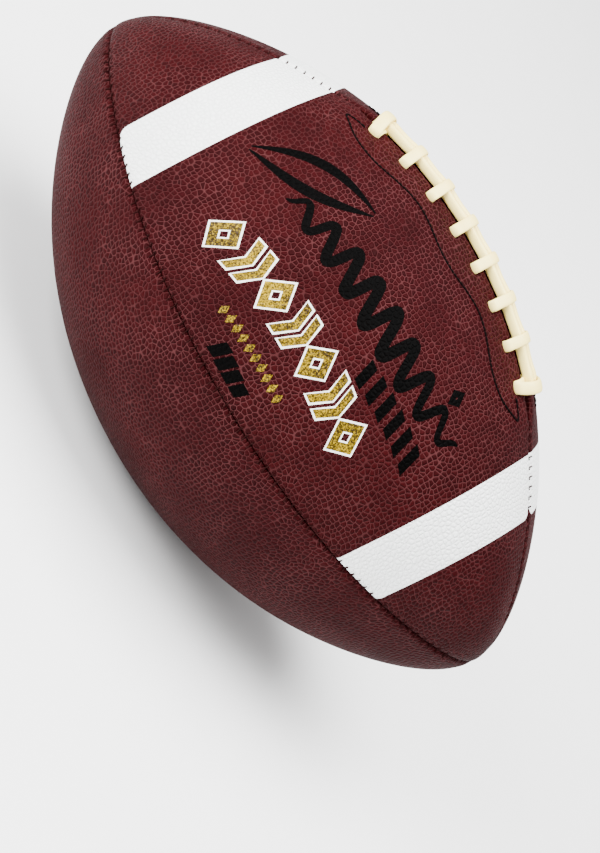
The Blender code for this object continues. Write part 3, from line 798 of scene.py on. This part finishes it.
def facing_route():
    """(x, across, 0) places of a facing's stitch line, from its left end to its right end."""
    ends = ((-60, 11.4), (-64, 11.6), (-68, 12.6), (-64.5, 16.2))
    left = [(x * MM, a * MM) for x, a in ends]
    middle = []
    for i in range(21):
        x = 58 * MM * (i / 10 - 1)
        wave = math.cos(2 * math.pi * x / (49 * MM))
        middle.append((x, (21.4 + 2.3 * wave - 1.5 * (x / (58 * MM)) ** 6) * MM))
    right = [(-x, a) for x, a in reversed(left)]
    return [(x, a, 0) for x, a in left + middle + right]


def facing_stitch(side, sign, finish):
    route = spline_through(facing_route(), FACING_STITCH_PITCH)
    centres = skin_across(route[:, 0], sign * route[:, 1], FACING_STITCH_LIFT)
    ups = skin_across(route[:, 0], sign * route[:, 1], MM) - centres
    ups /= np.linalg.norm(ups, axis=1, keepdims=True)
    return stitch_row(f"{side}_facing_stitches", centres, ups, FACING_STITCH_RADIUS, finish)


def seam_stitches(name, angle, x_from, x_to, finish):
    """Threads that cross the groove of a seam, one at each pucker, joined by a cord below."""
    first = math.ceil(x_from / STITCH_PITCH)
    last = math.floor(x_to / STITCH_PITCH)
    vertices, faces = [], []
    sides, rings = 8, 9
    for k in range(first, last + 1):
        x = k * STITCH_PITCH
        reach = SEAM_STITCH_REACH / form_radius(x, angle)
        turn = np.linspace(-reach, reach, rings)
        dip = 0.16 - 1.1 * np.cos(turn / reach * QUARTER) ** 3
        centres = skin(x + np.linspace(-0.25, 0.25, rings) * MM, angle + turn, dip * MM)
        flats = np.tile((1.0, 0, 0), (rings, 1))
        widths = np.full(rings, SEAM_STITCH_RADIUS)
        ring = tube_rings(centres, flats, widths, widths, sides)
        faces += ring_faces(rings, sides, len(vertices))
        vertices += ring.reshape(-1, 3).tolist()
    # where the stitches end near a tip, the cord goes on to the tip
    ends = [
        math.asin(x / HALF_LENGTH) if abs(x) < 0.9 * HALF_LENGTH else math.copysign(TIP_TURN, x)
        for x in (x_from, x_to)
    ]
    xs = HALF_LENGTH * np.sin(np.linspace(*ends, 220))
    centres = skin(xs, angle, -SEAM_CORD_DEPTH)
    flats = skin(xs, angle + 0.01, -SEAM_CORD_DEPTH) - centres
    widths = np.full(len(xs), SEAM_CORD_RADIUS)
    ring = tube_rings(centres, flats, widths, widths, sides)
    faces += ring_faces(len(xs), sides, len(vertices))
    vertices += ring.reshape(-1, 3).tolist()
    return mesh_object(name, vertices, faces, finish, 60)


# ---------------------------------------------------------------- printed ornament

PRINT_SINK = 0.00015  # how far the prints' undersides reach into the skin


def print_place(flat):
    """(x, angle) of points of the front top panel given as (x, distance from the top seam)."""
    return flat[..., 0], flat[..., 1] / form_radius(flat[..., 0], QUARTER / 2)


def printed(name, grids, lift, finish, around=False):
    """Ink or foil laid on the front top panel, one thin closed patch for each grid."""
    vertices, faces, flats = [], [], []
    count = 0
    for grid in grids:
        x, angle = print_place(grid)
        some, more = slab_parts(skin(x, angle, lift), skin(x, angle, -PRINT_SINK), around)
        vertices.append(some)
        faces += [tuple(k + count for k in face) for face in more]
        flats.append(np.concatenate([layout(x, angle, 0).reshape(-1, 2)] * 2))
        count += len(some)
    return mesh_object(name, np.concatenate(vertices), faces, finish, 40, np.concatenate(flats))


def stroke(points, widths):
    """A brush stroke as a grid of (x, across); widths are half widths at the points, all in mm."""
    line = spline_through([(x, a, 0, w) for (x, a), w in zip(points, widths)], 0.8) * MM
    centre, half = line[:, :2], line[:, 3]
    tangent = np.gradient(centre, axis=0)
    tangent /= np.linalg.norm(tangent, axis=1, keepdims=True)
    beside = np.stack([-tangent[:, 1], tangent[:, 0]], -1)
    shares = np.linspace(-1, 1, 7)[None, :, None]
    return centre[:, None] + beside[:, None] * half[:, None, None] * shares


def block(x, across, half_length, half_height, lean):
    """A slanted bar as a grid of (x, across), in mm."""
    rows = np.linspace(-1, 1, max(3, int(half_length * 2.2)))[:, None]
    columns = np.linspace(-1, 1, max(3, int(half_height * 2.2)))[None, :]
    place = (x + rows * half_length + columns * lean, across + columns * half_height + rows * 0)
    return np.stack(np.broadcast_arrays(*place), -1) * MM


def chevron(x, across, half_width, half_height, tip):
    """An arrowhead band that points along the ball, as a grid of (x, across), in mm."""
    t = np.linspace(-1, 1, 27)[None, :]
    rows = np.linspace(-1, 1, 9)[:, None]
    place = (x + tip * (0.5 - np.abs(t)) + rows * half_width, across + t * half_height + rows * 0)
    return np.stack(np.broadcast_arrays(*place), -1) * MM


def lozenge_ring(x, across, half_length, half_height, outer, inner):
    """A lozenge between two offsets of its outline, as a grid that closes round, in mm."""
    corners = np.array([(1.0, 0), (0, 1.0), (-1.0, 0), (0, -1.0), (1.0, 0)])
    shares = np.linspace(0, 1, 14, endpoint=False)[:, None]
    loop = np.concatenate([a + (b - a) * shares for a, b in zip(corners, corners[1:])])
    slope = math.hypot(half_length, half_height) / (half_length * half_height)
    sizes = np.array([half_length, half_height])
    grow = np.linspace(1 + outer * slope, 1 + inner * slope, 4)[:, None, None]
    return (np.array([x, across]) + loop[None] * sizes * grow) * MM


# Places of the marks, in mm along the ball and round from the top seam
GOLD_ROW_START, GOLD_ROW_ACROSS = -49.0, 94.0
GOLD_PITCH = 14.7
GOLD_COUNT = 7
CHEVRON_SHIFT = 3.1  # two chevrons stand this far either side of their place
DOT_ROW_START, DOT_ROW_ACROSS = -24.5, 113.0
DOT_PITCH = 4.3
OVAL_START, OVAL_END = (-73, 60), (-28, 42)
OVAL_RISE = 6.6  # how far each arc of the oval bulges from the line between its ends
WAVE_START, WAVE_LENGTH, WAVE_ACROSS = -50, 114, 64.5
WAVE_SWINGS = 8.5
WAVE_HEIGHT = 7.6


def gold_row(foil, outline):
    """Lozenges and pairs of chevrons in turn, each with a pale outline."""
    lozenges, edges, inner_edges, chevrons, chevron_edges = [], [], [], [], []
    for i in range(GOLD_COUNT):
        x = GOLD_ROW_START + GOLD_PITCH * i
        if i % 2:
            for shift in (-CHEVRON_SHIFT, CHEVRON_SHIFT):
                chevrons.append(chevron(x + shift, GOLD_ROW_ACROSS, 1.7, 8.3, 3.6))
                chevron_edges.append(chevron(x + shift, GOLD_ROW_ACROSS, 2.4, 9.1, 3.6))
        else:
            place = (x, GOLD_ROW_ACROSS, 6.6, 8.4)
            lozenges.append(lozenge_ring(*place, 0, -3.3))
            edges.append(lozenge_ring(*place, 0.75, 0))
            inner_edges.append(lozenge_ring(*place, -3.3, -3.9))
    return [
        printed("gold_lozenges", lozenges, 0.10 * MM, foil, True),
        printed("gold_lozenge_edges", edges + inner_edges, 0.08 * MM, outline, True),
        printed("gold_chevrons", chevrons, 0.14 * MM, foil),
        printed("gold_chevron_edges", chevron_edges, 0.07 * MM, outline),
    ]


def oval_arcs():
    """The two arcs of a pointed oval, which stop just short of each other."""
    shares = np.linspace(0, 1, 9)
    (x, across), (x_end, across_end) = OVAL_START, OVAL_END
    arcs = []
    for side in (-1, 1):
        rise = side * (0.9 + OVAL_RISE * np.sin(math.pi * shares))
        xs = x + (x_end - x) * shares + 0.37 * rise
        arc = zip(xs, across + (across_end - across) * shares + 0.93 * rise)
        arcs.append(stroke(list(arc), 0.3 + 2.1 * np.sin(math.pi * shares)))
    return arcs


def wave_stroke():
    """A slanted wave that starts and ends small and thin."""
    turns = np.linspace(0, 1, 73)
    fade = np.sin(math.pi * np.clip(turns, 0.02, 0.98)) ** 0.45
    swing = WAVE_HEIGHT * fade * np.cos(turns * WAVE_SWINGS * 2 * math.pi)
    xs = WAVE_START + WAVE_LENGTH * turns + 0.25 * swing
    middle = WAVE_ACROSS + 0.5 * turns - 13.0 * turns**4
    half = 0.3 + 2.0 * np.sin(math.pi * turns) ** 0.4
    return stroke(list(zip(xs, middle + swing)), half)


def ornament(foil, outline, ink):
    """(piece, slot) for each printed mark: a pointed oval, a wave, bars and rows of gold."""
    golds = gold_row(foil, outline)
    dots = [
        lozenge_ring(DOT_ROW_START + DOT_PITCH * i, DOT_ROW_ACROSS, 1.6, 2.7, 0, -1.15)
        for i in range(10)
    ]
    golds.append(printed("gold_dots", dots, 0.08 * MM, foil, True))
    bars = [block(22.5 + 7.2 * i, 78.6 - 1.4 * i, 2.2, 4.7, 1.5) for i in range(6)]
    bars += [block(-12.2 + 5.5 * i, 123.2 + 0.85 * i, 2.4, 3.9, -1.2) for i in range(4)]
    lozenge = lozenge_ring(47.5, 45.5, 3.4, 4.8, 0, -2.4)
    blacks = [
        printed("black_oval", oval_arcs(), 0.07 * MM, ink),
        printed("black_wave", [wave_stroke()], 0.08 * MM, ink),
        printed("black_bars", bars, 0.07 * MM, ink),
        printed("black_lozenge", [lozenge], 0.07 * MM, ink, True),
    ]
    marks = [(piece, "stripe_white") for piece in golds]
    return marks + [(piece, "stitch_thread") for piece in blacks]


# ---------------------------------------------------------------- studio

CAMERA_DISTANCE = 1.100
CAMERA_AZIMUTH = math.radians(-0.21)
CAMERA_ELEVATION = math.radians(24.18)
CAMERA_ROLL = math.radians(-60.85)
CAMERA_TILT = math.radians(1.739)  # aims below the ball, which sits above the picture's middle
CAMERA_PAN = math.radians(0.074)
CAMERA_LENS = 115.46
FLOOR_GAP = 0.0005
WORLD_STRENGTH = 0.9


def camera_direction():
    """From the ball's centre towards the camera."""
    az, el = CAMERA_AZIMUTH, CAMERA_ELEVATION
    return Vector((math.sin(az) * math.cos(el), -math.cos(az) * math.cos(el), math.sin(el)))


def camera_axes():
    """(right, up, back) of the camera in the ball's frame."""
    back = camera_direction()
    right = Vector((math.cos(CAMERA_AZIMUTH), math.sin(CAMERA_AZIMUTH), 0))
    up = back.cross(right)
    c, s = math.cos(CAMERA_ROLL), math.sin(CAMERA_ROLL)
    right, up = right * c - up * s, right * s + up * c
    c, s = math.cos(CAMERA_PAN), math.sin(CAMERA_PAN)
    right, back = right * c + back * s, back * c - right * s
    c, s = math.cos(CAMERA_TILT), math.sin(CAMERA_TILT)
    return right, up * c - back * s, back * c + up * s


def add_camera():
    right, up, back = camera_axes()
    data = bpy.data.cameras.new("camera")
    data.lens = CAMERA_LENS
    data.sensor_width = 36
    data.clip_start = 0.05
    data.clip_end = 50
    camera = bpy.data.objects.new("camera", data)
    bpy.context.scene.collection.objects.link(camera)
    rotation = Matrix((right, up, back)).transposed().to_4x4()
    camera.matrix_world = Matrix.Translation(camera_direction() * CAMERA_DISTANCE) @ rotation
    bpy.context.scene.camera = camera


def softbox(name, direction, distance, size, power):
    """A rectangular light that far from the ball's centre, in metres and watts, which faces it."""
    data = bpy.data.lights.new(name, "AREA")
    data.shape = "RECTANGLE"
    data.size, data.size_y = size
    data.energy = power
    light = bpy.data.objects.new(name, data)
    bpy.context.scene.collection.objects.link(light)
    place = Vector(direction).normalized() * distance
    rotation = place.to_track_quat("Z", "Y").to_matrix().to_4x4()
    light.matrix_world = Matrix.Translation(place) @ rotation


def studio():
    work = bmesh.new()
    bmesh.ops.create_grid(work, x_segments=24, y_segments=24, size=4)
    mesh = bpy.data.meshes.new("floor")
    work.to_mesh(mesh)
    work.free()
    mesh.materials.append(floor_material())
    floor = bpy.data.objects.new("floor", mesh)
    floor.location.z = CAD_BOX[0][2] - FLOOR_GAP
    bpy.context.scene.collection.objects.link(floor)
    world = bpy.data.worlds.new("studio")
    world.use_nodes = True
    background = world.node_tree.nodes["Background"]
    background.inputs["Color"].default_value = (1, 1, 1, 1)
    background.inputs["Strength"].default_value = WORLD_STRENGTH
    bpy.context.scene.world = world
    right, up, back = camera_axes()
    towards = back * 0.80 - right * 0.20 + up * 0.66
    softbox("key", towards, distance=1.3, size=(0.8, 0.6), power=46)
    softbox("top", (0.0, -0.1, 1.0), distance=1.7, size=(1.6, 1.6), power=130)
    add_camera()


# ---------------------------------------------------------------- assembly


def main():
    """Every piece but the prints stands for a CAD node. Nodes inside the ball keep their shapes."""
    leather = leather_material()
    white = stripe_material()
    lace_finish = lace_material()
    black_thread = thread_material("stitch_thread", rgb(1, 1, 1), rgb(5, 3, 3))
    red_thread = thread_material("seam_thread", rgb(14, 3, 3), rgb(40, 12, 12))
    cloth = cloth_material()
    # near black: the vinyl's own dark colour, darkened further as painted shade for the inside of
    # the slit, where the facing and guard show
    vinyl_with_slit_shade = rubber_material("facing_vinyl", rgb(10, 8, 8), rgb(20, 16, 16), 0.75)
    butyl = rubber_material("bladder_rubber", rgb(26, 26, 27), rgb(48, 48, 50), 0.5)
    valve_rubber = rubber_material("valve_rubber", rgb(22, 22, 23), rgb(40, 40, 42), 0.45)
    plug_rubber = rubber_material("plug_rubber", rgb(110, 20, 22), rgb(142, 34, 34), 0.5)

    def keep(obj, node):
        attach(obj, "root")
        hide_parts(node)
        return obj

    for index, node in enumerate(
        ("top_front_panel", "bottom_front_panel", "bottom_back_panel", "top_back_panel")
    ):
        made = keep(panel(f"{node}_skin", index, leather), node)
        if index in (0, 3):
            sign = 1 if index == 0 else -1
            places = [
                (x, sign * HOLE_ACROSS / float(form_radius(x, 0.0))) for x in cross_positions()
            ]
            punch_holes(made, places, HOLE_HALF_LENGTH, HOLE_HALF_WIDTH)
        if index == 2:
            punch_holes(made, [(0.0, VALVE_ANGLE)], VALVE_HOLE_RADIUS, VALVE_HOLE_RADIUS)
    for side, index in (("front", 0), ("back", 3)):
        for end, sign in (("left", -1), ("right", 1)):
            node = f"{end}_{side}_stripe"
            keep(band(f"{node}_skin", index, sign, white), node)
    keep(lace(lace_finish), "lace")
    for side, sign in (("front", 1), ("back", -1)):
        keep(facing_stitch(side, sign, black_thread), f"{side}_facing_stitch")
    reach = HALF_LENGTH - THREAD_TIP_MARGIN
    for side, index in (("front", 1), ("bottom", 2), ("back", 3)):
        made = seam_stitches(f"{side}_seam_stitches", index * QUARTER, -reach, reach, red_thread)
        keep(made, f"{side}_seam_thread")
    start = TOP_THREAD_START
    for end, x_from, x_to in (("left", -reach, -start), ("right", start, reach)):
        made = seam_stitches(f"{end}_top_seam_stitches", 0.0, x_from, x_to, red_thread)
        keep(made, f"{end}_top_seam_thread")

    finishes = {
        "lining": cloth, "facing": vinyl_with_slit_shade, "guard": vinyl_with_slit_shade, "bladder": butyl,
        "valve_body": valve_rubber, "valve_plug": plug_rubber,
    }
    for node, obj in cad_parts.items():
        for key, finish in finishes.items():
            if node.endswith(key):
                obj.data.materials.clear()
                obj.data.materials.append(finish)
    foil = foil_material("gold_foil", rgb(38, 26, 1), rgb(158, 130, 1), 0.15, 0.45, 0.12)
    outline = foil_material("pale_print", rgb(226, 224, 214), rgb(242, 241, 236), 0.0, 0.5, 0.3)
    ink = foil_material("black_print", rgb(1, 1, 1), rgb(3, 2, 2), 0.0, 0.55, 0.015)
    for piece, slot in ornament(foil, outline, ink):
        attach(piece, "root")
    studio()


main()
